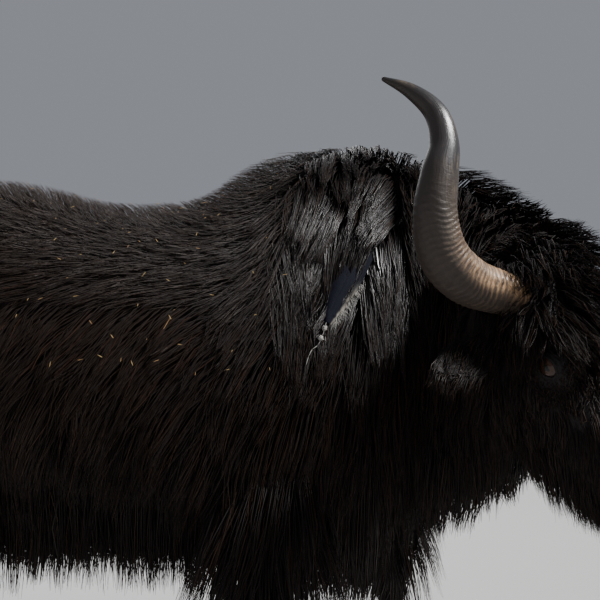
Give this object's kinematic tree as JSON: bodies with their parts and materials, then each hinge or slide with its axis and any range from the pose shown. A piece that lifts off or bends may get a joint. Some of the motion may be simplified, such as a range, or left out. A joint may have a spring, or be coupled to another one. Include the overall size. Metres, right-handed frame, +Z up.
{
  "type": "yak bull, still life-size model",
  "caption": "Life-size standing black yak bull with shaggy coat, hanging skirt of hair, ringed horns and head turned to its right.",
  "frame": {"origin": "middle of the bounding box, at the level of the soles", "axes": "+X forwards along the trunk, +Y to the animal's left, +Z up"},
  "size_m": [1.8586, 1.0082, 1.285],
  "materials": {
    "coat": "long black hair over a dense short coat, faintly brown on the back",
    "horn": "horn: tan and closely ringed at the base, smooth and dark grey towards the tip",
    "hoof": "dark worn hoof horn",
    "eye": "wet dark brown eye",
    "cloth": "faded blue-grey woven cloth with a frayed pale end"
  },
  "bodies": {
    "root": {"claw_front_left_left": "hoof", "claw_front_left_right": "hoof", "claw_front_right_left": "hoof", "claw_front_right_right": "hoof", "claw_hind_left_left": "hoof", "claw_hind_left_right": "hoof", "claw_hind_right_left": "hoof", "claw_hind_right_right": "hoof", "ear_left": "coat", "ear_right": "coat", "eye_left": "eye", "eye_right": "eye", "head": "coat", "horn_left": "horn", "horn_right": "horn", "leg_front_left": "coat", "leg_front_right": "coat", "leg_hind_left": "coat", "leg_hind_right": "coat", "mane_ribbon": "cloth", "neck": "coat", "tail": "coat", "torso": "coat"}
  },
  "joints": []
}
